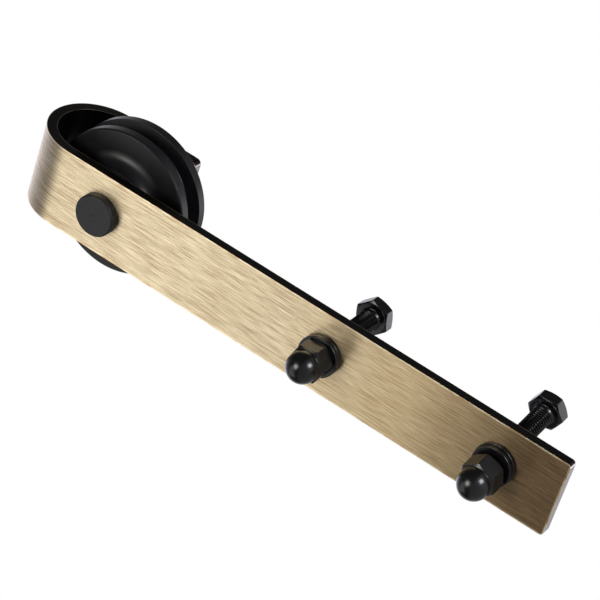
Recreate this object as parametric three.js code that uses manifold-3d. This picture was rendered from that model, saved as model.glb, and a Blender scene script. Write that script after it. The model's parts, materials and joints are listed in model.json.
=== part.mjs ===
// Sliding barn door hanger: a flat steel strap bent over at the top, a grooved roller on a ball
// bearing between its two legs, and two bolts with washers and dome nuts that clamp the door.
// Millimetres, +Z up. The front of the strap faces -Y and the door is on its +Y side. The origin
// is midway between the two bolt holes, on the face of the long leg that lies against the door.
import * as THREE from 'three';
import { mergeVertices } from 'three/addons/utils/BufferGeometryUtils.js';
import Module from 'manifold-3d';

const wasm = await Module();
wasm.setup();

// Driving dimensions.
const strap = {
  width: 40,
  thickness: 5,
  legGap: 40,
  holeSpacing: 92.8,
  belowLowerHole: 31.9,
  axleAboveUpperHole: 125.6,
  bendAboveAxle: 23.8,
  shortLegBelowAxle: 17.8,
  longCornerRadius: 2,
  shortCornerRadius: 2.5,
};
const wheel = {
  radius: 35.5,
  width: 19,
  flangeWidth: 5,
  grooveDepth: 6,
  grooveTaper: 1.2,
  rimChamfer: 0.7,
  hubRadius: 19.5,
  hubFootRadius: 26,
  frontHubGap: 2.4,
  backHubGap: 3.6,
  bearingLip: 2.4,
};
const bearing = { bore: 10, outside: 26, width: 8, ball: 4.76, balls: 7, ringWall: 2.5, shield: 0.4 };
const snapRing = { thickness: 1.2, depth: 0.9, width: 2.1, opening: 7 };
const axle = { headDiameter: 20.5, headHeight: 4.4, headChamfer: 0.6, stub: 1.8 };
const spacer = { wall: 3 };
const axleWasher = { diameter: 20, thickness: 2 };
const axleNut = { acrossFlats: 16, height: 6, turn: 12 };
const bolt = { diameter: 10, length: 60, acrossFlats: 16, headHeight: 6.4, padDiameter: 15.2, padHeight: 0.4 };
const washer = { diameter: 20.2, thickness: 2.1 };
const domeNut = { acrossFlats: 16, height: 19.25, hexHeight: 9.2, domeDiameter: 15.3 };
// One set of door fasteners in each hole: the door space under the bolt's head, how far the loose
// bolt leans in its hole with its head towards +X, in degrees, and how the corners of the head
// and of the nut stand, in degrees from +X towards +Z.
const fasteners = [
  { name: 'upper', side: 1, doorSpace: 37, lean: 0, headTurn: 14.6, nutTurn: 39.2 },
  { name: 'lower', side: -1, doorSpace: 35, lean: 10, headTurn: 33.3, nutTurn: 11.8 },
];
// Where a leaning bolt crosses the middle of its hole, in front of the strap's front face.
const leanAhead = 1.5;

// Fits: radial room of a shaft in its hole, and the space left between faces that meet.
const fit = { boltHole: 0.08, washerHole: 0.4, axleHole: 0.15, thread: 0.15, bearingSeat: 0.1, race: 0.1 };
const faceGap = 0.1;
const tipRoom = 0.8;
const cornerTurnedIn = 0.3;
const roundSteps = 32;
const wheelSteps = 40;
const bendSteps = 20;
const ballDetail = 1;

// Places that follow from the sizes.
const frontFace = -strap.thickness;
const axleRadius = bearing.bore / 2;
// The steepest bolt's sideways reach at the back of its hole, past its own radius.
const leanRoom = Math.max(...fasteners.map(({ lean }) => {
  const tilt = THREE.MathUtils.degToRad(lean);
  return (strap.thickness + leanAhead) * Math.tan(tilt) + (bolt.diameter / 2) * (1 / Math.cos(tilt) - 1);
}));
const bendRadius = strap.legGap / 2 + strap.thickness;
const bendY = strap.legGap / 2;
const holeZ = strap.holeSpacing / 2;
const lowEndZ = -holeZ - strap.belowLowerHole;
const axleZ = holeZ + strap.axleAboveUpperHole;
const bendZ = axleZ + strap.bendAboveAxle;
const shortEndZ = axleZ - strap.shortLegBelowAxle;
const outerFace = strap.legGap + strap.thickness;
const hubLength = strap.legGap - wheel.frontHubGap - wheel.backHubGap;
const wheelY = wheel.frontHubGap + hubLength / 2;
const pitchRadius = (bearing.bore + bearing.outside) / 4;
const ballRadius = bearing.ball / 2;

// A closed BufferGeometry becomes a solid, and back.
function solidOf(geometry) {
  const bare = geometry.clone();
  bare.deleteAttribute('normal');
  bare.deleteAttribute('uv');
  const merged = mergeVertices(bare, 1e-4);
  return new wasm.Manifold(new wasm.Mesh({
    numProp: 3,
    vertProperties: new Float32Array(merged.attributes.position.array),
    triVerts: new Uint32Array(merged.index.array),
  }));
}

function geometryOf(solid) {
  const mesh = solid.getMesh();
  const geometry = new THREE.BufferGeometry();
  geometry.setAttribute('position', new THREE.BufferAttribute(new Float32Array(mesh.vertProperties), 3));
  geometry.setIndex(new THREE.BufferAttribute(new Uint32Array(mesh.triVerts), 1));
  geometry.computeVertexNormals();
  return geometry;
}

// A turned piece: its profile is a list of [radius, y] points, from its -Y end round to its +Y end.
function turned(profile, steps = roundSteps) {
  const points = profile.map(([radius, y]) => new THREE.Vector2(radius, y));
  return new THREE.LatheGeometry(points, steps);
}

// A plain or pierced disc from y0 to y1.
function ring(innerRadius, outerRadius, y0, y1) {
  const profile = [[innerRadius, y0], [outerRadius, y0], [outerRadius, y1], [innerRadius, y1]];
  return turned(innerRadius ? [...profile, profile[0]] : profile);
}

// A hexagon across its flats from y0 to y1, with its corners turned down at the ends named.
function hexagon(acrossFlats, y0, y1, downAt) {
  const corner = acrossFlats / Math.sqrt(3);
  const shape = new THREE.Shape();
  for (let k = 0; k < 6; k += 1) {
    const angle = (k * Math.PI) / 3;
    const x = corner * Math.cos(angle);
    const z = corner * Math.sin(angle);
    if (k) shape.lineTo(x, z);
    else shape.moveTo(x, z);
  }
  shape.closePath();
  const prism = new THREE.ExtrudeGeometry(shape, { depth: y1 - y0, bevelEnabled: false });
  prism.rotateX(-Math.PI / 2).translate(0, y0, 0);
  const flat = acrossFlats / 2 - cornerTurnedIn;
  const wide = corner + 1;
  const drop = (wide - flat) * Math.tan(Math.PI / 6);
  const low = downAt.includes('-Y') ? [[0, y0], [flat, y0], [wide, y0 + drop]] : [[0, y0], [wide, y0]];
  const high = downAt.includes('+Y') ? [[wide, y1 - drop], [flat, y1], [0, y1]] : [[wide, y1], [0, y1]];
  return solidOf(prism).intersect(solidOf(turned([...low, ...high])));
}

function rod(radius, y0, y1, x = 0, z = 0) {
  return solidOf(ring(0, radius, y0, y1).translate(x, 0, z));
}

// The waste outside a rounded corner at (x, z), which opens towards (sideX, -Z).
function cornerWaste(x, z, sideX, radius, y0, y1) {
  const shape = new THREE.Shape();
  const over = 1;
  const start = sideX > 0 ? 0 : Math.PI;
  const centre = [x - sideX * radius, -(z + radius)];
  shape.moveTo(x + sideX * over, -(z + radius));
  shape.lineTo(x, -(z + radius));
  shape.absarc(centre[0], centre[1], radius, start, Math.PI / 2, sideX < 0);
  shape.lineTo(centre[0], -(z - over));
  shape.lineTo(x + sideX * over, -(z - over));
  shape.closePath();
  const geometry = new THREE.ExtrudeGeometry(shape, { depth: y1 - y0, bevelEnabled: false, curveSegments: 6 });
  return solidOf(geometry.rotateX(-Math.PI / 2).translate(0, y0, 0));
}

// The strap: long leg, half-round bend and short leg in one bar, with its three bolt and axle holes.
function strapGeometry() {
  const side = new THREE.Shape();
  side.moveTo(frontFace, lowEndZ);
  side.lineTo(0, lowEndZ);
  side.lineTo(0, bendZ);
  side.absarc(bendY, bendZ, strap.legGap / 2, Math.PI, 0, true);
  side.lineTo(strap.legGap, shortEndZ);
  side.lineTo(outerFace, shortEndZ);
  side.lineTo(outerFace, bendZ);
  side.absarc(bendY, bendZ, bendRadius, 0, Math.PI, false);
  side.closePath();
  const bar = new THREE.ExtrudeGeometry(side, {
    depth: strap.width,
    bevelEnabled: false,
    curveSegments: bendSteps,
  });
  const [x, y, z] = [new THREE.Vector3(1, 0, 0), new THREE.Vector3(0, 1, 0), new THREE.Vector3(0, 0, 1)];
  bar.applyMatrix4(new THREE.Matrix4().makeBasis(y, z, x)).translate(-strap.width / 2, 0, 0);
  let solid = solidOf(bar);
  for (const sideX of [-1, 1]) {
    const edge = (sideX * strap.width) / 2;
    solid = solid.subtract(cornerWaste(edge, lowEndZ, sideX, strap.longCornerRadius, frontFace - 1, 1));
    solid = solid.subtract(cornerWaste(edge, shortEndZ, sideX, strap.shortCornerRadius, strap.legGap - 1,
      outerFace + 1));
  }
  for (const hole of fasteners) {
    solid = solid.subtract(rod(bolt.diameter / 2 + leanRoom + fit.boltHole, frontFace - 1, 1, 0, hole.side * holeZ));
  }
  const axleHole = axleRadius + fit.axleHole;
  return geometryOf(solid.subtract(rod(axleHole, frontFace - 1, outerFace + 1, 0, axleZ)));
}

// The roller: two flanges, the tapered rail groove between them, and a hub that is bored for the
// bearing from the front, with a lip behind it and a groove for the snap ring before it.
function wheelGeometry() {
  const half = wheel.width / 2;
  const hub = hubLength / 2;
  const rim = wheel.radius;
  const floor = rim - wheel.grooveDepth;
  const grooveHalf = half - wheel.flangeWidth;
  const floorHalf = grooveHalf - wheel.grooveTaper;
  const seat = bearing.outside / 2 + fit.bearingSeat;
  const lip = seat - wheel.bearingLip;
  const seatEnd = bearing.width / 2 + faceGap;
  const ringEnd = seatEnd + snapRing.thickness + faceGap * 2;
  const footRadius = wheel.hubFootRadius - wheel.hubRadius;
  const arcSteps = 4;
  const foot = (side) => Array.from({ length: arcSteps + 1 }, (_, k) => {
    const angle = (k / arcSteps) * (Math.PI / 2);
    const radius = wheel.hubFootRadius - footRadius * Math.sin(angle);
    return [radius, side * (half + footRadius * (1 - Math.cos(angle)))];
  });
  const outside = [
    [wheel.hubRadius - 0.8, -hub],
    [wheel.hubRadius, -hub + 0.8],
    ...foot(-1).reverse(),
    [rim - wheel.rimChamfer, -half],
    [rim, -half + wheel.rimChamfer],
    [rim, -grooveHalf],
    [floor, -floorHalf],
    [floor, floorHalf],
    [rim, grooveHalf],
    [rim, half - wheel.rimChamfer],
    [rim - wheel.rimChamfer, half],
    ...foot(1),
    [wheel.hubRadius, hub - 0.8],
    [wheel.hubRadius - 0.8, hub],
  ];
  const inside = [
    [lip, hub],
    [lip, seatEnd],
    [seat, seatEnd],
    [seat, -seatEnd],
    [seat + snapRing.depth, -seatEnd],
    [seat + snapRing.depth, -ringEnd],
    [seat, -ringEnd],
    [seat, -hub],
  ];
  return turned([...outside, ...inside, outside[0]], wheelSteps);
}

// A bearing ring whose raceway faces the balls: side is 1 for the outer ring and -1 for the inner.
function raceGeometry(side) {
  const half = bearing.width / 2;
  const back = side > 0 ? bearing.outside / 2 : axleRadius + fit.axleHole;
  const face = back - side * bearing.ringWall;
  const track = ballRadius + fit.race;
  const reach = Math.acos(Math.abs(face - pitchRadius) / track);
  const steps = 6;
  const groove = Array.from({ length: steps + 1 }, (_, k) => {
    const angle = -reach + (2 * reach * k) / steps;
    return [pitchRadius + side * track * Math.cos(angle), side * track * Math.sin(-angle)];
  });
  if (side > 0) {
    return turned([[back, -half], [back, half], [face, half], ...groove, [face, -half], [back, -half]]);
  }
  return turned([[back, half], [back, -half], [face, -half], ...groove, [face, half], [back, half]]);
}

function ballPlace(k) {
  const angle = ((k + 0.5) * 2 * Math.PI) / bearing.balls;
  return [pitchRadius * Math.sin(angle), 0, pitchRadius * Math.cos(angle)];
}

// The cage: a ring with one round pocket for each ball.
function cageGeometry() {
  const half = ballRadius + 0.7;
  let solid = solidOf(ring(pitchRadius - 0.55, pitchRadius + 0.55, -half, half));
  for (let k = 0; k < bearing.balls; k += 1) {
    const pocket = new THREE.IcosahedronGeometry(ballRadius + fit.race + 0.1, ballDetail);
    solid = solid.subtract(solidOf(pocket.translate(...ballPlace(k))));
  }
  return geometryOf(solid);
}

function snapRingGeometry() {
  const outer = bearing.outside / 2 + fit.bearingSeat + snapRing.depth - faceGap;
  const half = snapRing.thickness / 2;
  const gap = new THREE.BoxGeometry(snapRing.opening, 4, outer * 2).translate(0, 0, -outer);
  return geometryOf(solidOf(ring(outer - snapRing.width, outer, -half, half)).subtract(solidOf(gap)));
}

// The axle: a round head on the front of the strap and a shaft that takes the nut behind.
function axleGeometry() {
  const head = axle.headDiameter / 2;
  const shaft = axleRadius;
  const seat = frontFace - faceGap;
  const top = seat - axle.headHeight;
  const tip = outerFace + axleWasher.thickness + axleNut.height + 2 * faceGap + axle.stub;
  return turned([
    [0, top],
    [head - axle.headChamfer, top],
    [head, top + axle.headChamfer],
    [head, seat],
    [shaft, seat],
    [shaft, tip - 1],
    [shaft - 1, tip],
    [0, tip],
  ]);
}

function axleNutGeometry() {
  const half = axleNut.height / 2;
  const hole = rod(axleRadius + fit.thread, -half - 1, half + 1);
  return geometryOf(hexagon(axleNut.acrossFlats, -half, half, ['-Y', '+Y']).subtract(hole));
}

// The bolt: its shank starts under the head at y = 0 and runs to -Y.
function boltGeometry() {
  const shank = bolt.diameter / 2;
  const head = hexagon(bolt.acrossFlats, bolt.padHeight, bolt.headHeight, ['-Y', '+Y']);
  const pad = rod(bolt.padDiameter / 2, 0, bolt.padHeight + 0.5);
  const stem = solidOf(turned([
    [0, -bolt.length],
    [shank - 1, -bolt.length],
    [shank, -bolt.length + 1],
    [shank, 1],
    [0, 1],
  ]));
  return geometryOf(head.add(pad).add(stem));
}

// The dome nut: a hexagon from y = 0 to -Y, then the dome, with a blind hole for the bolt.
function domeNutGeometry(boreDepth) {
  const hex = hexagon(domeNut.acrossFlats, -domeNut.hexHeight, 0, ['-Y', '+Y']);
  const radius = domeNut.domeDiameter / 2;
  const domeY = -domeNut.height + radius;
  const steps = 6;
  const dome = Array.from({ length: steps + 1 }, (_, k) => {
    const angle = (k / steps) * (Math.PI / 2);
    return [radius * Math.sin(angle), domeY - radius * Math.cos(angle)];
  });
  const cap = solidOf(turned([...dome, [radius, -domeNut.hexHeight + 1], [0, -domeNut.hexHeight + 1]]));
  return geometryOf(hex.add(cap).subtract(rod(bolt.diameter / 2 + fit.thread, -boreDepth, 1)));
}

// Finishes.
const finish = {
  bronze: { color: 0xbda985, roughness: 0.42, metalness: 1 },
  nylon: { color: 0x2b2b2d, roughness: 0.5, metalness: 0 },
  steel: { color: 0xb8babd, roughness: 0.25, metalness: 1 },
  blackSteel: { color: 0x1d1d1f, roughness: 0.35, metalness: 1 },
  zinc: { color: 0x9da0a3, roughness: 0.4, metalness: 1 },
};

function part(name, geometry, look, y = 0) {
  const mesh = new THREE.Mesh(geometry, new THREE.MeshStandardMaterial(finish[look]));
  mesh.name = name;
  mesh.position.y = y;
  return mesh;
}

const hanger = new THREE.Group();
hanger.add(part('strap', strapGeometry(), 'bronze'));

// Everything on the axle.
const onAxle = new THREE.Group();
onAxle.position.z = axleZ;
hanger.add(onAxle);
const inner = bearing.width / 2 + faceGap;
const spacerBore = axleRadius + fit.axleHole;
const nutWasherY = outerFace + faceGap;
const backNutY = nutWasherY + axleWasher.thickness + faceGap + axleNut.height / 2;
const backNut = part('axle_lock_nut', axleNutGeometry(), 'blackSteel', backNutY);
backNut.rotation.y = THREE.MathUtils.degToRad(-axleNut.turn);
onAxle.add(
  part('axle_pin', axleGeometry(), 'blackSteel'),
  part('axle_spacer_front', ring(spacerBore, spacerBore + spacer.wall, faceGap, wheelY - inner), 'zinc'),
  part('axle_spacer_back', ring(spacerBore, spacerBore + spacer.wall, wheelY + inner,
    strap.legGap - faceGap), 'zinc'),
  part('axle_washer', ring(spacerBore, axleWasher.diameter / 2, nutWasherY,
    nutWasherY + axleWasher.thickness), 'blackSteel'),
  backNut,
  part('roller_wheel', wheelGeometry(), 'nylon', wheelY),
  part('bearing_outer_ring', raceGeometry(1), 'steel', wheelY),
  part('bearing_inner_ring', raceGeometry(-1), 'steel', wheelY),
  part('bearing_cage', cageGeometry(), 'steel', wheelY),
  part('bearing_snap_ring', snapRingGeometry(), 'steel', wheelY - inner - faceGap - snapRing.thickness / 2),
);
for (let k = 0; k < bearing.balls; k += 1) {
  const ball = part(`bearing_ball_${k + 1}`, new THREE.IcosahedronGeometry(ballRadius, ballDetail), 'steel');
  const [x, , z] = ballPlace(k);
  ball.position.set(x, wheelY, z);
  onAxle.add(ball);
}
const innerFace = axleRadius + fit.axleHole + bearing.ringWall;
const outerRaceFace = bearing.outside / 2 - bearing.ringWall;
for (const [name, side] of [['front', -1], ['back', 1]]) {
  const shield = ring(innerFace + 0.2, outerRaceFace - faceGap, -bearing.shield / 2, bearing.shield / 2);
  const shieldY = wheelY + side * (bearing.width / 2 - bearing.shield);
  onAxle.add(part(`bearing_shield_${name}`, shield, 'steel', shieldY));
}

// The door fasteners. From the strap's front face towards -Y: two washers, then the dome nut.
const washerGeometry = ring(bolt.diameter / 2 + fit.washerHole, washer.diameter / 2, 0, washer.thickness);
const washerPitch = washer.thickness + faceGap;
const nutSeat = frontFace - 2 * washerPitch - faceGap;
const nutFace = domeNut.acrossFlats / 2 - cornerTurnedIn;
const pivotY = frontFace - leanAhead;
// Places along a bolt's own axis, from where it crosses the middle of its hole. A leaning bolt
// takes its nut round with it, so that the nut stands on one edge on the washers, which stay flat.
const alongAxis = fasteners.map(({ doorSpace, lean }) => {
  const tilt = THREE.MathUtils.degToRad(lean);
  return {
    tilt,
    head: (doorSpace - pivotY) / Math.cos(tilt),
    nut: (nutSeat - nutFace * Math.sin(tilt) - pivotY) / Math.cos(tilt),
  };
});
const deepest = Math.max(...alongAxis.map(({ head, nut }) => bolt.length - head + nut));
fasteners.forEach(({ name, side, headTurn, nutTurn }, k) => {
  const { tilt, head, nut } = alongAxis[k];
  const set = new THREE.Group();
  set.position.z = side * holeZ;
  const leaning = new THREE.Group();
  leaning.position.y = pivotY;
  leaning.rotation.z = -tilt;
  const hexBolt = part(`${name}_hex_bolt`, boltGeometry(), 'blackSteel', head);
  hexBolt.rotation.y = THREE.MathUtils.degToRad(-headTurn);
  const nutPart = part(`${name}_dome_nut`, domeNutGeometry(deepest + tipRoom), 'blackSteel', nut);
  nutPart.rotation.y = THREE.MathUtils.degToRad(-nutTurn);
  leaning.add(hexBolt, nutPart);
  set.add(leaning);
  for (const [kind, place] of [['strap', 1], ['nut', 2]]) {
    const y = frontFace - place * washerPitch;
    const flat = part(`${name}_${kind}_washer`, washerGeometry, 'blackSteel', y);
    flat.position.x = (y + washer.thickness / 2 - pivotY) * Math.tan(tilt);
    set.add(flat);
  }
  hanger.add(set);
});

export default hanger;
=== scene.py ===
import json
import math

import bpy
import bmesh
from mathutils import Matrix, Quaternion, Vector


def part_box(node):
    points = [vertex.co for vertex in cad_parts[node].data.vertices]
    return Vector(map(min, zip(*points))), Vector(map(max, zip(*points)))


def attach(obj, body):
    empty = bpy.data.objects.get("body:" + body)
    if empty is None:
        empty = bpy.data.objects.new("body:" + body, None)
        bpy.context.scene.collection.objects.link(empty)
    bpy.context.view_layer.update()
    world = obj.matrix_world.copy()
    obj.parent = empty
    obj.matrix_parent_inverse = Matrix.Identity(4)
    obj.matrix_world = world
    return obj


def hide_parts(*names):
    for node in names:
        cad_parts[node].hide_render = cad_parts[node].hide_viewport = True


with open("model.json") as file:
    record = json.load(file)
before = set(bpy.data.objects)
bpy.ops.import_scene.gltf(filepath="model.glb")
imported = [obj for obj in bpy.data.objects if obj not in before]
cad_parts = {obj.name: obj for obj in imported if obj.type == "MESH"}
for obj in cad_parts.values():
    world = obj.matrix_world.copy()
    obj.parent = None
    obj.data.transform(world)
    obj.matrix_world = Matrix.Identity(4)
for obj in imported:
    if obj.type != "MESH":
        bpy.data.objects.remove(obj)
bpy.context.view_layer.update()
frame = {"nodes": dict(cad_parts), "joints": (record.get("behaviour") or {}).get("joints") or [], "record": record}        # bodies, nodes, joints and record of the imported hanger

mm = 0.001
sharpAngle = math.radians(38)      # faces that meet at more than this keep a crisp edge
record = frame["record"]
bodyOf = {node: body for body, nodes in record["behaviour"]["bodies"].items() for node in nodes}
print("loaded the hanger:", len(frame["nodes"]), "nodes")


# The lowest and highest corners of a CAD node, in mm.
def span(node):
    low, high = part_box(node)
    return Vector(low) / mm, Vector(high) / mm


def middle(node):
    low, high = span(node)
    return (low + high) / 2


# A colour written as sRGB hex becomes the linear one that the shaders want.
def linear(hexColour):
    parts = [int(hexColour[k:k + 2], 16) / 255 for k in (1, 3, 5)]
    return [p / 12.92 if p <= 0.04045 else ((p + 0.055) / 1.055) ** 2.4 for p in parts] + [1.0]


# Adds a node with its settings, and gives its sockets their values or links.
def addNode(tree, kind, values=None, **settings):
    made = tree.nodes.new("ShaderNode" + kind)
    for name, setting in settings.items():
        setattr(made, name, setting)
    for socket, value in (values or {}).items():
        if isinstance(value, bpy.types.NodeSocket):
            tree.links.new(value, made.inputs[socket])
        else:
            made.inputs[socket].default_value = value
    return made


# A material with its shader; the values that are the same all over are set on its own sockets.
def startMaterial(name, values):
    material = bpy.data.materials.new(name)
    material.use_nodes = True
    tree = material.node_tree
    shader = tree.nodes["Principled BSDF"]
    for socket, value in values.items():
        shader.inputs[socket].default_value = value
    return material, tree, shader


def meshOf(name, points, faces):
    mesh = bpy.data.meshes.new(name)
    mesh.from_pydata([Vector(point) * mm for point in points], [], faces)
    work = bmesh.new()
    work.from_mesh(mesh)
    bmesh.ops.remove_doubles(work, verts=work.verts, dist=2e-7)
    bmesh.ops.recalc_face_normals(work, faces=work.faces)
    work.to_mesh(mesh)
    work.free()
    return mesh


def objectOf(name, mesh):
    made = bpy.data.objects.new(name, mesh)
    bpy.context.scene.collection.objects.link(made)
    return made


# Smooth shading that stays flat on flat faces, then the piece's material, body, slot and node.
def finishPiece(piece, node, material):
    mesh = piece.data
    mesh.materials.clear()
    mesh.materials.append(material)
    mesh.shade_smooth()
    mesh.set_sharp_from_angle(angle=sharpAngle)
    weighted = piece.modifiers.new("flat faces stay flat", "WEIGHTED_NORMAL")
    weighted.keep_sharp = True
    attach(piece, bodyOf[node])
    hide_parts(node)


# The strap's own sizes in mm; the rest come from its CAD node.
strapLow, strapHigh = span("strap")
strap = {
    "corner": 0.35,                   # how far the brushing has rounded the bar's long edges
    "longCorner": 2.0, "shortCorner": 2.5, "shortLegBelowAxle": 17.8,
    "boltHole": 12.6, "axleHole": 10.3, "bendSteps": 72, "holeSteps": 64, "legSteps": 30,
    "shortLegSteps": 5,
    "layoutSize": 40.0,               # the length of bar that one unit of its UV map covers
}
strap["thickness"] = -strapLow.y
strap["halfWidth"] = strapHigh.x
strap["legGap"] = strapHigh.y - strap["thickness"]
strap["bendRadius"] = strap["legGap"] / 2 + strap["thickness"]
strap["middleRadius"] = strap["legGap"] / 2 + strap["thickness"] / 2
strap["bendZ"] = strapHigh.z - strap["bendRadius"]
strap["lowEnd"] = strapLow.z
strap["shortEnd"] = middle("axle_pin").z - strap["shortLegBelowAxle"]
strap["farEnd"] = 2 * strap["bendZ"] + math.pi * strap["middleRadius"] - strap["shortEnd"]

# Mild steel bar, bronze plated, tarnished and brushed along its length on the outer face only.
# The brush leaves long fine streaks that stretch each highlight across the bar. Towards the low end
# the colour turns from honey to brown: painted shade for the dimmer reflection there, with some real
# tarnish. The corners are rubbed to a thin pale or copper line. The cut sides and the inside stay
# black, and the two cut ends are bare grey.
# Streaks and scratches are drawn about twice as wide as real ones, so that they still show.
bronze = {
    # honey and deep, and part of dark, make the low end of the bar browner and darker: painted shade for
    # the dimmer reflection there, with some real tarnish. dark also colours the real patina clouds.
    "light": "#d8c9ab", "streak": "#857659", "honeyAndShade": "#b8995e", "dark": "#806548", "deep": "#45372a",
    "black": "#231f1e", "copper": "#a8845a", "rubbed": "#d9cbaa", "cutEnd": "#a39da0",
    "roughness": (0.36, 0.44), "blackRoughness": 0.30, "anisotropy": 0.5,
    "streakWidth": 0.12, "streakLength": 13.0, "scratchWidth": 0.19, "scratchLength": 30.0,
    "bandWidth": 1.6, "bandLength": 60.0, "patinaSize": 30.0, "wornSize": 9.0,
    "brushDepth": 0.002,
}


# Brush marks as a grey pattern that is drawn out along the bar; sizes in mm.
def brushMarks(tree, bar, width, length, detail):
    drawn = addNode(tree, "VectorMath", {0: bar, 1: (1 / width, 1 / length, 0.05)},
                    operation="MULTIPLY")
    noise = addNode(tree, "TexNoise", {"Vector": drawn.outputs[0], "Scale": 1.0,
                    "Detail": detail, "Roughness": 0.6})
    return noise.outputs[0]


# The bar's finish, laid over it in layers. Along the bar, mm count from midway between the bolt
# holes, up the long leg and on round the bend.
def brushedBronze():
    material, tree, shader = startMaterial("brushed antique bronze steel", {
        "Metallic": 1.0, "Anisotropic": bronze["anisotropy"]})
    bar = addNode(tree, "Attribute", attribute_name="bar").outputs["Vector"]
    place = addNode(tree, "SeparateXYZ", {0: bar})      # across, along and deep, in mm
    along, deep = place.outputs[1], place.outputs[2]
    aside = addNode(tree, "Math", {0: place.outputs[0]}, operation="ABSOLUTE").outputs[0]
    fine = brushMarks(tree, bar, bronze["streakWidth"], bronze["streakLength"], 3)
    scratch = brushMarks(tree, bar, bronze["scratchWidth"], bronze["scratchLength"], 2)
    band = brushMarks(tree, bar, bronze["bandWidth"], bronze["bandLength"], 2)
    cloud = brushMarks(tree, bar, bronze["patinaSize"], bronze["patinaSize"] * 2, 3)
    worn = brushMarks(tree, bar, bronze["wornSize"], bronze["wornSize"], 2)
    # deep runs through the bar: the rounded corner lies between a flat face and the cut side
    half, corner = strap["thickness"] / 2, strap["corner"]
    flatSide = strap["halfWidth"] - corner
    ramps = {        # what each mask follows, where it starts and is full, and its strength
        "streak": (fine, 0.42, 0.62, 1.0),
        "scratch": (scratch, 0.55, 0.66, 0.9),
        "band": (band, 0.42, 0.70, 0.15),
        "cloud": (cloud, 0.45, 0.75, 0.12),
        "worn": (worn, 0.45, 0.65, 0.8),
        # These two masks paint shade: they make the bar browner and darker towards its low end, where it
        # reflects less light, with some real tarnish.
        "honeyAndShade": (along, 70.0, 0.0, 0.3),
        "lower": (along, 2.0, -62.0, 0.85),
        "wornSide": (aside, flatSide - 0.6, flatSide - 0.05, 0.85),
        "wornEnd": (along, strap["lowEnd"] + corner + 0.6, strap["lowEnd"] + corner + 0.05, 0.85),
        "outer": (deep, half - 0.12 * corner, half - 0.02 * corner, 1.0),
        "rubbed": (deep, half - 0.8 * corner, half - 0.4 * corner, 1.0),
        "innerCorner": (deep, corner * 0.7 - half, corner * 0.3 - half, 1.0),
        "innerFace": (deep, -half, corner * 0.2 - half, 1.0),
        "lowEnd": (along, strap["lowEnd"] + 0.3, strap["lowEnd"] + 0.15, 1.0),
        "farEnd": (along, strap["farEnd"] - 0.3, strap["farEnd"] - 0.15, 1.0),
    }
    mask = {name: addNode(tree, "MapRange", {"Value": value, "From Min": first, "From Max": full,
                          "To Max": most}).outputs[0]
            for name, (value, first, full, most) in ramps.items()}
    mask["innerLine"] = addNode(tree, "Math", {0: mask["innerCorner"], 1: mask["innerFace"]},
                                 operation="MULTIPLY").outputs[0]
    mask["ends"] = addNode(tree, "Math", {0: mask["lowEnd"], 1: mask["farEnd"]},
                           operation="MAXIMUM").outputs[0]
    shade = {name: linear(bronze[name])
             for name in ("light", "streak", "honeyAndShade", "dark", "deep", "black", "copper", "rubbed",
                           "cutEnd")}
    layers = (        # amount, what lies below, what lies above, and the name of the result
        ("streak", "light", "streak", "brushed"),
        ("band", "brushed", "streak", "brushed"),
        ("cloud", "brushed", "dark", "brushed"),
        ("scratch", "brushed", "dark", "brushed"),
        # Painted shade with some real tarnish: a browner, darker colour mixed in towards the low end of
        # the bar.
        ("honeyAndShade", "brushed", "honeyAndShade", "brushed"),
        ("streak", "dark", "deep", "tarnishAndShade"),
        ("scratch", "tarnishAndShade", "black", "tarnishAndShade"),
        ("lower", "brushed", "tarnishAndShade", "brushed"),
        ("worn", "rubbed", "copper", "edge"),
        ("wornSide", "brushed", "edge", "brushed"),
        ("wornEnd", "brushed", "edge", "brushed"),
        ("ends", "black", "cutEnd", "bar"),
        ("innerLine", "bar", "edge", "bar"),
        ("rubbed", "bar", "edge", "bar"),
        ("outer", "bar", "brushed", "bar"),
    )
    for amount, below, above, result in layers:
        shade[result] = addNode(tree, "Mix", {0: mask[amount], 6: shade[below], 7: shade[above]},
                                data_type="RGBA").outputs[2]
    low, high = bronze["roughness"]
    brushRoughness = addNode(tree, "MapRange", {"Value": fine, "From Min": 0.3, "From Max": 0.7,
                             "To Min": low, "To Max": high})
    roughness = addNode(tree, "Mix", {0: mask["outer"], 2: bronze["blackRoughness"],
                        3: brushRoughness.outputs[0]})
    height = addNode(tree, "Math", {0: fine, 1: mask["outer"]}, operation="MULTIPLY")
    bump = addNode(tree, "Bump", {"Height": height.outputs[0], "Strength": 0.5,
                   "Distance": bronze["brushDepth"] * mm})
    tangent = addNode(tree, "Tangent", direction_type="UV_MAP", uv_map="barLayout")
    tree.links.new(shade["bar"], shader.inputs["Base Color"])
    tree.links.new(roughness.outputs[0], shader.inputs["Roughness"])
    tree.links.new(bump.outputs[0], shader.inputs["Normal"])
    tree.links.new(tangent.outputs[0], shader.inputs["Tangent"])
    return material


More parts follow.
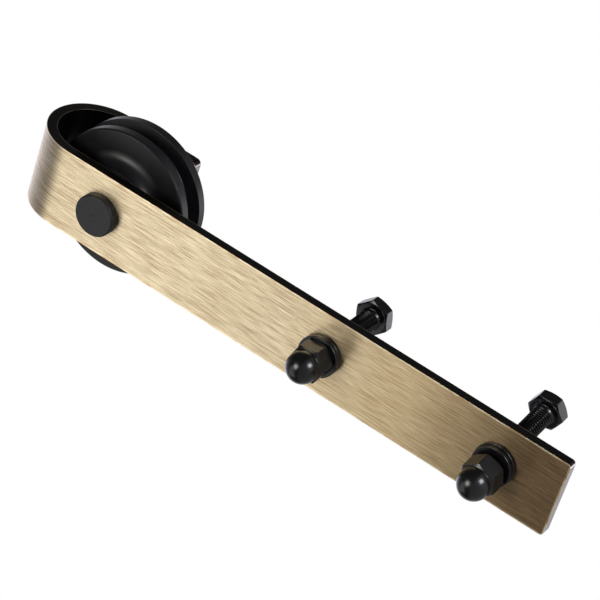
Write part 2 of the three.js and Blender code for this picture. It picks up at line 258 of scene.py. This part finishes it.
# Solid finishes. The two colours drift into each other over drift mm, and so does roughness;
# grain is the size of the fine bumps and bumpDepth their height, in mm. Lathe finishes draw
# their grain out in rings round the axis. The black coats have an ior below the real one,
# because their pores and turning marks swallow part of the shine.
finishes = {
    # Nylon 6, cast black and turned: satin, with a broad soft shine and faint rings.
    "castNylon": {"name": "black cast nylon, turned", "colours": ("#0f0f11", "#131315"),
                  "metallic": 0.0, "ior": 1.29, "roughness": (0.34, 0.38), "drift": 9.0,
                  "grain": 0.28, "bumpDepth": 0.004, "lathe": True, "dust": True},
    # Steel, zinc plated, dyed black and sealed: a smooth black coat with small soft highlights.
    "blackPlated": {"name": "black zinc plated steel", "colours": ("#070708", "#0b0b0c"),
                    "metallic": 0.0, "ior": 1.38, "roughness": (0.24, 0.26), "drift": 12.0,
                    "grain": 0.35, "bumpDepth": 0.0002, "lathe": False, "dust": False},
    # Turned steel dipped in a black oxide bath: dull, mottled and slightly rough.
    "blackOxide": {"name": "black oxide turned steel", "colours": ("#080809", "#171718"),
                   "metallic": 0.0, "ior": 1.36, "roughness": (0.36, 0.62), "drift": 1.6,
                   "grain": 0.30, "bumpDepth": 0.020, "lathe": False, "dust": False},
    # Chrome steel, ground and lapped: a bright mirror with a slight haze.
    "groundSteel": {"name": "ground bearing steel", "colours": ("#b9bcc0", "#c8cbce"),
                    "metallic": 1.0, "ior": 1.5, "roughness": (0.10, 0.18), "drift": 4.0,
                    "grain": 0.2, "bumpDepth": 0.001, "lathe": True, "dust": False},
    # Mild steel tube, turned and zinc plated: pale grey with a soft cloudy shine.
    "zincSteel": {"name": "zinc plated turned steel", "colours": ("#9a9ea2", "#b4b8bb"),
                  "metallic": 1.0, "ior": 1.5, "roughness": (0.28, 0.42), "drift": 3.0,
                  "grain": 0.3, "bumpDepth": 0.003, "lathe": True, "dust": False},
}
# A few stray pale specks: mm from one to the next, their radius as shares of that, and strength.
dust = {"spacing": 7.0, "edge": 0.035, "core": 0.02, "amount": 0.5, "colour": "#a9a294"}


def solidFinish(finish):
    material, tree, shader = startMaterial(finish["name"], {
        "Metallic": finish["metallic"], "IOR": finish["ior"]})
    place = addNode(tree, "TexCoord").outputs["Object"]
    drift = addNode(tree, "TexNoise", {"Vector": place, "Detail": 4.0,
                    "Scale": 1 / (finish["drift"] * mm)}).outputs[0]
    grainPlace = place
    if finish["lathe"]:
        rings = addNode(tree, "Attribute", attribute_name="lathe").outputs["Vector"]
        grainPlace = addNode(tree, "VectorMath", {0: rings, 1: (mm, mm, mm)},
                             operation="MULTIPLY").outputs[0]
    grain = addNode(tree, "TexNoise", {"Vector": grainPlace, "Detail": 2.0,
                    "Scale": 1 / (finish["grain"] * mm)}).outputs[0]
    spread = addNode(tree, "MapRange", {"Value": drift, "From Min": 0.35, "From Max": 0.65})
    dark, light = finish["colours"]
    colour = addNode(tree, "Mix", {0: spread.outputs[0], 6: linear(dark), 7: linear(light)},
                     data_type="RGBA").outputs[2]
    low, high = finish["roughness"]
    roughness = addNode(tree, "MapRange", {"Value": drift, "From Min": 0.35, "From Max": 0.65,
                        "To Min": low, "To Max": high})
    bump = addNode(tree, "Bump", {"Height": grain, "Strength": 0.5,
                   "Distance": finish["bumpDepth"] * mm})
    if finish["dust"]:
        cells = addNode(tree, "TexVoronoi", {"Vector": place, "Scale": 1 / (dust["spacing"] * mm)})
        speck = addNode(tree, "MapRange", {"Value": cells.outputs["Distance"],
                        "From Min": dust["edge"], "From Max": dust["core"],
                        "To Max": dust["amount"]}).outputs[0]
        colour = addNode(tree, "Mix", {0: speck, 6: colour, 7: linear(dust["colour"])},
                         data_type="RGBA").outputs[2]
    tree.links.new(colour, shader.inputs["Base Color"])
    tree.links.new(roughness.outputs[0], shader.inputs["Roughness"])
    tree.links.new(bump.outputs[0], shader.inputs["Normal"])
    return material


bronzeBar = brushedBronze()
castNylon, blackPlated, blackOxide, groundSteel, zincSteel = [
    solidFinish(finishes[name])
    for name in ("castNylon", "blackPlated", "blackOxide", "groundSteel", "zincSteel")]
print("materials:", len(bpy.data.materials))


def arc(centre, radius, start, end, steps):
    angles = [math.radians(start + (end - start) * k / steps) for k in range(steps + 1)]
    return [(centre[0] + radius * math.cos(a), centre[1] + radius * math.sin(a)) for a in angles]


# A prism of an outline of (a, b) points between two ends; put says where each point stands. A
# strip's ends are cut into quads between the two halves of its outline.
def prism(name, outline, ends, put, strip=False):
    count = len(outline)
    points = [put(a, b, end) for end in ends for a, b in outline]
    faces = [(k, (k + 1) % count, count + (k + 1) % count, count + k) for k in range(count)]
    for first in (0, count):
        if strip:
            faces += [(first + k, first + k + 1, first + count - 2 - k, first + count - 1 - k)
                      for k in range(count // 2 - 1)]
        else:
            faces.append(tuple(range(first, first + count)))
    return objectOf(name, meshOf(name, points, faces))


def cutWith(target, cutters):
    for cutter in cutters:
        cut = target.modifiers.new("cut", "BOOLEAN")
        cut.operation = "DIFFERENCE"
        cut.solver = "EXACT"
        cut.object = cutter


# Applies the modifiers, removes what made the shape and returns the mesh.
def bakedMesh(target, cutters):
    seen = bpy.context.evaluated_depsgraph_get()
    mesh = bpy.data.meshes.new_from_object(target.evaluated_get(seen))
    for spare in [target, *cutters]:
        bpy.data.objects.remove(spare)
    return mesh


# Across, along and deep of a point of the strap, in mm, as if the bar were straight again.
def barPlace(point):
    x, y, z = point / mm
    centre, legs = strap["legGap"] / 2, strap["thickness"] / 2
    if z > strap["bendZ"]:
        turn = math.atan2(z - strap["bendZ"], centre - y)
        out = math.hypot(z - strap["bendZ"], centre - y)
        return x, strap["bendZ"] + strap["middleRadius"] * turn, out - strap["middleRadius"]
    if y < centre:
        return x, z, -y - legs
    backStart = strap["bendZ"] + math.pi * strap["middleRadius"]
    return x, backStart + strap["bendZ"] - z, y - strap["legGap"] - legs


def buildStrap():
    front, back = -strap["thickness"], strap["legGap"] + strap["thickness"]
    centre = (strap["legGap"] / 2, strap["bendZ"])
    half = strap["halfWidth"]

    # One side of the bar from its low end, up the long leg, round and down the short leg.
    def barSide(nearY, farY, radius):
        low, top, short = strap["lowEnd"], strap["bendZ"], strap["shortEnd"]
        count = strap["legSteps"]
        points = [(nearY, low + (top - low) * k / count) for k in range(count)]
        points += arc(centre, radius, 180, 0, strap["bendSteps"])
        count = strap["shortLegSteps"]
        return points + [(farY, top + (short - top) * (k + 1) / count) for k in range(count)]

    outline = barSide(front, back, strap["bendRadius"])
    outline += barSide(0, strap["legGap"], strap["legGap"] / 2)[::-1]
    bar = prism("bar", outline, (-half, half), lambda a, b, end: (end, a, b), strip=True)
    cutters = []
    holes = (("upper_hex_bolt", strap["boltHole"], 1), ("lower_hex_bolt", strap["boltHole"], 1),
             ("axle_pin", strap["axleHole"], back + 1))
    for node, width, far in holes:
        hole = arc((0, middle(node).z), width / 2, 0, 360, strap["holeSteps"])[:-1]
        cutters.append(prism("hole", hole, (front - 1, far), lambda a, b, end: (a, end, b)))
    ends = ((strap["lowEnd"], strap["longCorner"], front - 1, 1),
            (strap["shortEnd"], strap["shortCorner"], strap["legGap"] - 1, back + 1))
    for bottom, radius, near, far in ends:
        for side in (-1, 1):
            waste = arc((half - radius, bottom + radius), radius, 0, -90, 8)
            waste += [(half - radius, bottom - 1), (half + 1, bottom - 1), (half + 1, bottom + radius)]
            waste = [(side * a, b) for a, b in waste]
            cutters.append(prism("waste", waste, (near, far), lambda a, b, end: (a, end, b)))
    cutWith(bar, cutters)
    rounding = bar.modifiers.new("rounded edges", "BEVEL")
    rounding.width = strap["corner"] * mm
    rounding.segments = 3
    rounding.limit_method = "ANGLE"
    rounding.angle_limit = math.radians(40)
    mesh = bakedMesh(bar, cutters)
    places = [barPlace(vertex.co) for vertex in mesh.vertices]
    mesh.attributes.new("bar", "FLOAT_VECTOR", "POINT")
    mesh.uv_layers.new(name="barLayout")
    size = strap["layoutSize"]
    for item, place in zip(mesh.attributes["bar"].data, places):
        item.vector = place
    for loop in mesh.loops:
        across, along, deep = places[loop.vertex_index]
        mesh.uv_layers["barLayout"].data[loop.index].uv = (across / size, along / size)
    finishPiece(objectOf("strap_brushed_bar", mesh), "strap", bronzeBar)


buildStrap()
print("strap: bar of", round(strap["farEnd"] - strap["lowEnd"]), "mm before it was bent")


# Rounds the corners of a profile. A point is (radius, y) or (radius, y, cut, steps): cut is how
# far from the corner the curve starts, in mm.
def softened(points, closed=False):
    made = []
    last = len(points) - 1
    for k, (radius, y, *more) in enumerate(points):
        here = Vector((radius, y))
        cut = more[0] if more else 0
        steps = more[1] if len(more) > 1 else 3
        if not cut or (not closed and k in (0, last)):
            made.append(here)
            continue
        start = here + (Vector(points[k - 1][:2]) - here).normalized() * cut
        end = here + (Vector(points[(k + 1) % len(points)][:2]) - here).normalized() * cut
        for step in range(steps + 1):
            t = step / steps
            made.append((1 - t) ** 2 * start + 2 * t * (1 - t) * here + t * t * end)
    return made


def evenAngles(count):
    return [2 * math.pi * k / count for k in range(count)]


# Angles that crowd at the six corners of a hexagon.
def hexAngles():
    offsets = (-30, -23, -16, -11, -7, -4, -2.2, -1, 0, 1, 2.2, 4, 7, 11, 16, 23)
    return [math.radians(60 * corner + offset) for corner in range(6) for offset in offsets]


hexCorner = 0.12      # how much the rounding takes off a hexagon's upright corners


# How far the side of a hexagon is from its axis at an angle, with its upright corners rounded.
def hexReach(acrossFlats, angle):
    fromCorner = (math.degrees(angle) + 30) % 60 - 30
    reach = acrossFlats / 2 / math.cos(math.radians(30 - abs(fromCorner)))
    return min(reach, acrossFlats / math.sqrt(3) - hexCorner)


# A solid turned about its own axis, which is Y unless way says otherwise. profileAt gives the
# profile at each angle from +X towards +Z, so that a hexagon or a thread is a profile that
# changes as it goes round. A split piece doesn't close, and has end faces.
def turnedPiece(name, node, material, centre, profileAt, angles, closed=False, split=False,
                turn=0.0, way=(0, 1, 0)):
    way = Vector(way)
    side, up = Vector((way.y, -way.x, 0)), Vector((0, 0, 1))
    columns = [profileAt(angle) for angle in angles]
    count, rows = len(columns), len(columns[0])
    points = []
    for angle, column in zip(angles, columns):
        out = side * math.cos(angle + turn) + up * math.sin(angle + turn)
        points += [centre + out * r + way * y for r, y in column]
    faces = []
    for k in range(count - 1 if split else count):
        here, there = k * rows, (k + 1) % count * rows
        for j in range(rows if closed else rows - 1):
            above = (j + 1) % rows
            faces.append((here + j, here + above, there + above, there + j))
    if split:
        faces += [tuple(range(rows)), tuple(range((count - 1) * rows, count * rows))]
    mesh = meshOf(name, points, faces)
    mesh.attributes.new("lathe", "FLOAT_VECTOR", "POINT")
    for item, vertex in zip(mesh.attributes["lathe"].data, mesh.vertices):
        place = vertex.co / mm - centre
        along = place.dot(way)
        item.vector = ((place - way * along).length, along, 0)
    finishPiece(objectOf(name, mesh), node, material)


# Points down the side of a screw from y0 to y1, which winds right-handed. Each turn has a flat
# crest, two sloping flanks and a flat root, and the thread fades out at both ends. A root that
# is wider than the crest cuts outwards, into a bore.
def threadSide(angle, y0, y1, crest, root, pitch, samples=12):
    steps = max(2, round(abs(y1 - y0) / pitch * samples))
    points = []
    for k in range(steps + 1):
        y = y0 + (y1 - y0) * k / steps
        phase = (y / pitch + angle / (2 * math.pi)) % 1.0
        groove = min(max(abs(phase - 0.5) * 2.7 - 0.12, 0), 0.88) / 0.88
        fade = min(1.0, 0.05 + abs(y - y0) / pitch, 0.05 + abs(y1 - y) / pitch)
        points.append(Vector((crest + (root - crest) * groove * fade, y)))
    return points


# The roller on its axle. Sizes in mm, about the wheel's own middle.
roller = {
    "rim": 35.5, "halfWidth": 9.5, "flange": 5.0, "grooveDepth": 6.0, "grooveTaper": 1.2,
    "rimChamfer": 0.7, "hub": 19.5, "hubFoot": 26.0, "hubEdge": 0.8, "seat": 13.1, "lip": 10.7,
    "seatEnd": 4.1, "snapGroove": 14.0, "snapGrooveEnd": 5.5, "segments": 160,
}


def buildWheel():
    size = roller
    low, high = span("roller_wheel")
    centre = middle("roller_wheel")
    hub, half = (high.y - low.y) / 2, size["halfWidth"]
    rim, floor = size["rim"], size["rim"] - size["grooveDepth"]
    grooveHalf = half - size["flange"]
    floorHalf = grooveHalf - size["grooveTaper"]
    edge, chamfer = size["hubEdge"], size["rimChamfer"]
    footRadius = size["hubFoot"] - size["hub"]

    def foot(side):        # the hollow curve from the hub's side out to the flange's face
        points = [(size["hubFoot"] - footRadius * math.sin(math.radians(7.5 * k)),
                   side * (half + footRadius * (1 - math.cos(math.radians(7.5 * k)))))
                  for k in range(13)]
        return [(r, y, 0, 1) for r, y in points]

    profile = [(size["hub"] - edge, -hub, 0.3), (size["hub"], edge - hub, 0.3)]
    profile += foot(-1)[::-1]
    profile += [(rim - chamfer, -half, 0.2), (rim, chamfer - half, 0.2), (rim, -grooveHalf, 0.25),
                (floor, -floorHalf, 0.5), (floor, floorHalf, 0.5), (rim, grooveHalf, 0.25),
                (rim, half - chamfer, 0.2), (rim - chamfer, half, 0.2)]
    profile += foot(1)
    profile += [(size["hub"], hub - edge, 0.3), (size["hub"] - edge, hub, 0.3),
                (size["lip"], hub, 0.3), (size["lip"], size["seatEnd"], 0.15),
                (size["seat"], size["seatEnd"], 0.1), (size["seat"], -size["seatEnd"], 0.05),
                (size["snapGroove"], -size["seatEnd"], 0.1),
                (size["snapGroove"], -size["snapGrooveEnd"], 0.1),
                (size["seat"], -size["snapGrooveEnd"], 0.1), (size["seat"], -hub, 0.4)]
    points = softened(profile, closed=True)
    turnedPiece("roller_wheel_turned", "roller_wheel", castNylon, centre, lambda angle: points,
                evenAngles(size["segments"]), closed=True)


# The bearing: a 10 x 26 x 8 mm ball bearing with pressed shields, and the ring that keeps it in.
bearing = {"bore": 10.3, "outside": 26.0, "wall": 2.5, "halfWidth": 4.0, "pitchRadius": 9.0,
           "track": 2.48, "ball": 2.38, "corner": 0.3, "segments": 96, "cageHalf": 3.08,
           "pocket": 2.58, "cageWall": 0.55, "shieldDish": 0.12}


def buildBearing():
    size = bearing
    centre = middle("bearing_outer_ring")
    half, corner = size["halfWidth"], size["corner"]
    segments = evenAngles(size["segments"])
    for node, side, back in (("bearing_outer_ring", 1, size["outside"] / 2),
                             ("bearing_inner_ring", -1, size["bore"] / 2)):
        face = back - side * size["wall"]
        reach = math.degrees(math.acos(abs(face - size["pitchRadius"]) / size["track"]))
        groove = arc((0, 0), size["track"], -reach, reach, 16)
        groove = [(size["pitchRadius"] + side * a, b) for a, b in groove]
        profile = [(back, half, corner), (back, -half, corner), (face, -half, 0.15)]
        points = softened(profile + groove + [(face, half, 0.15)], closed=True)
        turnedPiece(node + "_ground", node, groundSteel, centre, lambda angle: points, segments,
                    closed=True)
    for side, node in ((-1, "bearing_shield_front"), (1, "bearing_shield_back")):
        low, high = span(node)
        out = high.x
        inner, dish = size["bore"] / 2 + size["wall"] + 0.2, size["shieldDish"]
        thick = (high.y - low.y) / 2
        profile = [(inner, -thick, 0.05), (inner + 0.5, -thick, 0.1), (inner + 0.8, dish - thick, 0.1),
                   (out - 0.8, dish - thick, 0.1), (out - 0.5, -thick, 0.1), (out, -thick, 0.1),
                   (out, thick, 0.05), (inner, thick, 0.05)]
        points = softened([(r, -side * y, cut) for r, y, cut in profile], closed=True)
        turnedPiece(node + "_pressed", node, groundSteel, middle(node), lambda angle: points,
                    segments, closed=True)
    balls = [node for node in frame["nodes"] if node.startswith("bearing_ball_")]
    for node in balls:
        points = [Vector(p) for p in arc((0, 0), size["ball"], -90, 90, 24)]
        turnedPiece(node + "_lapped", node, groundSteel, middle(node), lambda angle: points,
                    evenAngles(48))
    wall, height = size["cageWall"], size["cageHalf"]
    inner, outer = size["pitchRadius"] - wall, size["pitchRadius"] + wall
    ring = [(inner, -height), (outer, -height), (outer, height), (inner, height)]
    count = size["segments"]
    points = [(centre[0] + r * math.cos(a), centre[1] + y, centre[2] + r * math.sin(a))
              for a in segments for r, y in ring]
    faces = [(k * 4 + j, k * 4 + (j + 1) % 4, (k + 1) % count * 4 + (j + 1) % 4,
              (k + 1) % count * 4 + j) for k in range(count) for j in range(4)]
    cage = objectOf("cage", meshOf("cage", points, faces))
    cutters = []
    for node in balls:
        spot = middle(node)
        out = (spot - centre).normalized()
        side = Vector((0, 1, 0)).cross(out)
        pocket = arc((0, 0), size["pocket"], 0, 360, 32)[:-1]
        cutters.append(prism("pocket", pocket, (-2, 2), lambda a, b, end:
                             spot + out * end + side * a + Vector((0, b, 0))))
    cutWith(cage, cutters)
    rounding = cage.modifiers.new("rounded edges", "BEVEL")
    rounding.width = 0.08 * mm
    rounding.segments = 2
    rounding.limit_method = "ANGLE"
    mesh = bakedMesh(cage, cutters)
    mesh.attributes.new("lathe", "FLOAT_VECTOR", "POINT")
    for item, vertex in zip(mesh.attributes["lathe"].data, mesh.vertices):
        x, y, z = vertex.co / mm - centre
        item.vector = (math.hypot(x, z), y, 0)
    finishPiece(objectOf("bearing_cage_pierced", mesh), "bearing_cage", groundSteel)


snapRing = {"wall": 2.1, "opening": 7.0, "corner": 0.15, "segments": 96}


def buildSnapRing():
    low, high = span("bearing_snap_ring")
    centre = middle("roller_wheel")
    centre.y = (low.y + high.y) / 2
    outer, thick = high.x, (high.y - low.y) / 2
    gap = math.asin((snapRing["opening"] / 2 + 0.05) / (outer - snapRing["wall"]))
    start, whole = -math.pi / 2 + gap, 2 * math.pi - 2 * gap
    cut = snapRing["corner"]
    points = softened([(outer - snapRing["wall"], -thick, cut), (outer, -thick, cut),
                       (outer, thick, cut), (outer - snapRing["wall"], thick, cut)], closed=True)
    angles = [start + whole * k / snapRing["segments"] for k in range(snapRing["segments"] + 1)]
    turnedPiece("bearing_snap_ring_sprung", "bearing_snap_ring", groundSteel, centre,
                lambda angle: points, angles, closed=True, split=True)


# The axle: a turned pin with a flat round head, threaded at its far end for the lock nut.
axle = {"headHeight": 4.4, "headChamfer": 0.6, "shaft": 5.0, "threadLength": 9.2, "pitch": 1.5,
        "centreMark": 1.4, "segments": 128, "nutFlats": 16.0, "nutCorner": 0.3,
        "nutBore": 5.15, "bore": 5.15, "nutTurn": 12.0}


def buildAxle():
    size = axle
    low, high = span("axle_pin")
    centre = Vector((0, 0, middle("axle_pin").z))
    head, chamfer, shaft = high.x, size["headChamfer"], size["shaft"]
    seat, threadStart = low.y + size["headHeight"], high.y - size["threadLength"]

    def profileAt(angle):
        front = softened([(0, low.y + 0.25), (size["centreMark"] * 0.4, low.y + 0.22),
                          (size["centreMark"], low.y, 0.1), (head - chamfer, low.y, 0.22, 4),
                          (head, low.y + chamfer, 0.22, 4), (head, seat, 0.15), (shaft + 0.2, seat, 0.1),
                          (shaft, seat + 0.2, 0.1), (shaft - 0.02, threadStart)])
        thread = threadSide(angle, threadStart, high.y - 0.8, shaft - 0.08, shaft - 0.85, size["pitch"])
        tail = softened([(shaft - 0.08, high.y - 0.8), (shaft - 0.9, high.y, 0.1), (0, high.y)])
        return front + thread + tail

    turnedPiece("axle_pin_turned", "axle_pin", blackOxide, centre, profileAt,
                evenAngles(size["segments"]))
    for node in ("axle_spacer_front", "axle_spacer_back", "axle_washer"):
        low, high = span(node)
        half, out = (high.y - low.y) / 2, high.x
        points = softened([(size["bore"], -half, 0.25), (out, -half, 0.3), (out, half, 0.3),
                           (size["bore"], half, 0.25)], closed=True)
        look = blackPlated if node == "axle_washer" else zincSteel
        turnedPiece(node + "_turned", node, look, middle(node), lambda angle: points,
                    evenAngles(96), closed=True)
    low, high = span("axle_lock_nut")
    half, flat = (high.y - low.y) / 2, size["nutFlats"] / 2 - size["nutCorner"]
    bore = size["nutBore"]

    def nutProfile(angle):
        reach = hexReach(size["nutFlats"], angle)
        drop = (reach - flat) * math.tan(math.radians(30))
        outside = softened([(bore + 0.5, -half), (flat, -half, 0.1), (reach, drop - half, 0.06),
                            (reach, half - drop, 0.06), (flat, half, 0.1), (bore + 0.5, half)])
        return outside + threadSide(angle, half - 0.5, 0.5 - half, bore, bore + 0.25, size["pitch"])

    turnedPiece("axle_lock_nut_forged", "axle_lock_nut", blackPlated, middle("axle_lock_nut"),
                nutProfile, hexAngles(), closed=True, turn=math.radians(size["nutTurn"]))


buildWheel()
buildBearing()
buildSnapRing()
buildAxle()
print("roller, bearing and axle are turned")

# The door fasteners: M10 x 60 hexagon bolts, plain washers and tall dome nuts. Turns are where
# the corners of each head and nut stand, in degrees from +X towards +Z.
fastener = {
    "flats": 16.0, "cornerTurnedIn": 0.3, "pitch": 1.5, "crest": 4.93, "root": 4.05, "length": 60.0,
    "headHeight": 6.4, "pad": 7.6, "padHeight": 0.4, "tipChamfer": 0.9, "bore": 5.15,
    "boreRoot": 5.35, "boreDepth": 14.2, "height": 19.25, "hexHeight": 9.2, "dome": 7.65,
    "washerBore": 5.4,
    "upper": {"headTurn": 14.6, "nutTurn": 39.2}, "lower": {"headTurn": 33.3, "nutTurn": 11.8},
}
joints = {joint["name"]: joint for joint in frame["joints"]}
mounts = {mount["name"]: mount for mount in record["mounts"]}


def buildFasteners(which):
    size, turns = fastener, fastener[which]
    flat, slope = size["flats"] / 2 - size["cornerTurnedIn"], math.tan(math.radians(30))
    # the nut's joint gives the bolt's axis and the nut's seat, and the mount the head's seat
    screw = joints[which + "_nut_turn"]
    way = -Vector(screw["axis"]).normalized()
    nutSeat = Vector(screw["pos_m"]) / mm
    headSeat = nutSeat + way * (Vector(mounts[which + "_head_seat"]["pos_m"]) / mm - nutSeat).dot(way)
    tip = -size["length"]

    def boltProfile(angle):
        reach = hexReach(size["flats"], angle)
        drop = (reach - flat) * slope
        top, pad, rise = size["headHeight"], size["pad"], size["padHeight"]
        start = softened([(0, tip), (size["root"], tip, 0.1), (size["crest"], tip + size["tipChamfer"])])
        thread = threadSide(angle, tip + size["tipChamfer"], -1.2, size["crest"], size["root"],
                            size["pitch"])
        head = softened([(size["crest"] - 0.3, -1.1), (size["crest"], -0.3, 0.2), (5.5, 0, 0.15),
                         (pad, 0, 0.08), (pad, rise, 0.08), (flat, rise, 0.05),
                         (reach, rise + drop, 0.08), (reach, top - drop, 0.08), (flat, top, 0.15),
                         (0, top)])
        return start + thread + head

    turnedPiece(which + "_hex_bolt_threaded", which + "_hex_bolt", blackPlated, headSeat,
                boltProfile, hexAngles(), turn=math.radians(turns["headTurn"]), way=way)

    for kind in ("strap", "nut"):
        node = which + "_" + kind + "_washer"
        low, high = span(node)
        half, out = (high.y - low.y) / 2, high.x
        points = softened([(size["washerBore"], -half, 0.3), (out, -half, 0.45, 4), (out, half, 0.25),
                           (size["washerBore"], half, 0.15)], closed=True)
        turnedPiece(node + "_stamped", node, blackPlated, middle(node), lambda angle: points,
                    evenAngles(112), closed=True)

    height, dome = size["height"], size["dome"]
    crown = [(a, b) for a, b in arc((0, dome - height), dome, -90, 0, 28)]

    def nutProfile(angle):
        reach = hexReach(size["flats"], angle)
        drop = (reach - flat) * slope
        hexTop = -size["hexHeight"]
        outside = [Vector(point) for point in crown]
        outside += softened([(dome, hexTop - 0.9), (dome - 0.3, hexTop - 0.35, 0.2),
                             (flat, hexTop, 0.15), (reach, hexTop + drop, 0.1), (reach, -drop, 0.1),
                             (flat, 0, 0.12), (size["bore"] + 0.7, 0, 0.1), (size["bore"], -0.7)])
        thread = threadSide(angle, -0.8, 1.2 - size["boreDepth"], size["bore"], size["boreRoot"],
                            size["pitch"])
        end = [Vector((size["bore"], 0.9 - size["boreDepth"])), Vector((0, -size["boreDepth"] - 1.5))]
        return outside + thread + end

    turnedPiece(which + "_dome_nut_domed", which + "_dome_nut", blackPlated, nutSeat, nutProfile,
                hexAngles(), turn=math.radians(turns["nutTurn"]), way=way)


for which in ("upper", "lower"):
    buildFasteners(which)
    print(which, "fasteners are cut")

# The studio: a pale floor, soft lamps and a white surround. Metres and degrees.
studio = {
    "floorZ": -0.53, "floorSize": 6.0, "floorColour": "#dcdcda",
    "camera": {"from": (0.75887, -1.03163, -0.36195), "aim": (0.00524, 0.0133, 0.07216),
               "roll": -58.0, "lens": 182.34},
    "surround": 0.085,
    # direction to each soft glow, where it fades out and is full in degrees, strength, colour
    "glows": (
        ((-0.55, 0.77, 0.32), 62, 25, 1.0, "#fbfaff"),
        ((0.27, -0.88, 0.39), 18, 3, 15.0, "#fffcf6"),
        ((-0.50, 0.20, 0.84), 44, 8, 0.7, "#dfe2ff"),
        ((-0.55, 0.67, 0.50), 30, 8, 0.5, "#dfe2ff"),
    ),
    # place, aim, width, height, roll, radiance, colour
    "lamps": (
        ((-0.27, -0.43, 0.355), (0.0, 0.0, 0.11), 0.60, 0.36, 24, 1.6, "#ffffff"),
        ((0.44, -0.02, -0.40), (0.0, 0.0, 0.02), 0.26, 0.20, 0, 24.0, "#f8f8ff"),
        ((-0.07, 0.50, -0.38), (0.0, 0.03, 0.0), 0.34, 0.24, 0, 3.4, "#f8f8ff"),
    ),
}


def buildStudio():
    size = studio["floorSize"] / 2 / mm
    corners = [(-size, -size), (size, -size), (size, size), (-size, size)]
    points = [(x, y, studio["floorZ"] / mm) for x, y in corners]
    floor = objectOf("studio_floor", meshOf("studio_floor", points, [(0, 1, 2, 3)]))
    paper, tree, shader = startMaterial("matt white paper", {"Roughness": 0.9,
                                        "Base Color": linear(studio["floorColour"])})
    floor.data.materials.append(paper)
    for spot, aim, width, height, roll, radiance, colour in studio["lamps"]:
        lamp = bpy.data.lights.new("softbox", "AREA")
        lamp.shape = "RECTANGLE"
        lamp.size, lamp.size_y = width, height
        lamp.energy = radiance * math.pi * width * height
        lamp.color = linear(colour)[:3]
        box = objectOf("softbox", lamp)
        box.location = spot
        facing = (Vector(spot) - Vector(aim)).to_track_quat("Z", "Y")
        box.rotation_mode = "QUATERNION"
        box.rotation_quaternion = facing @ Quaternion((0, 0, 1), math.radians(roll))
        box.visible_camera = False


def buildSurround():
    world = bpy.data.worlds.new("white surround")
    bpy.context.scene.world = world
    world.use_nodes = True
    tree = world.node_tree
    tree.nodes.clear()
    direction = addNode(tree, "TexCoord").outputs["Generated"]
    total = addNode(tree, "CombineXYZ", {k: studio["surround"] for k in range(3)}).outputs[0]
    for way, fades, full, strength, colour in studio["glows"]:
        facing = addNode(tree, "VectorMath", {0: direction, 1: Vector(way).normalized()},
                         operation="DOT_PRODUCT").outputs["Value"]
        glow = addNode(tree, "MapRange", {"Value": facing, "From Min": math.cos(math.radians(fades)),
                       "From Max": math.cos(math.radians(full)), "To Max": strength},
                       interpolation_type="SMOOTHSTEP").outputs[0]
        tint = addNode(tree, "VectorMath", {0: linear(colour)[:3], "Scale": glow}, operation="SCALE")
        total = addNode(tree, "VectorMath", {0: total, 1: tint.outputs[0]}).outputs[0]
    seen = addNode(tree, "LightPath").outputs["Is Camera Ray"]
    colour = addNode(tree, "Mix", {0: seen, 6: total, 7: (1, 1, 1, 1)}, data_type="RGBA")
    background = addNode(tree, "Background", {"Color": colour.outputs[2]})
    addNode(tree, "OutputWorld", {"Surface": background.outputs[0]})


def buildCamera():
    view = studio["camera"]
    lens = bpy.data.cameras.new("camera")
    lens.lens = view["lens"]
    lens.clip_start = 0.05
    lens.clip_end = 50
    camera = objectOf("camera", lens)
    camera.location = view["from"]
    facing = (Vector(view["from"]) - Vector(view["aim"])).to_track_quat("Z", "Y")
    camera.rotation_mode = "QUATERNION"
    camera.rotation_quaternion = facing @ Quaternion((0, 0, 1), math.radians(view["roll"]))
    bpy.context.scene.camera = camera


buildStudio()
buildSurround()
buildCamera()
bpy.context.scene.view_settings.view_transform = "Standard"
bpy.context.view_layer.update()
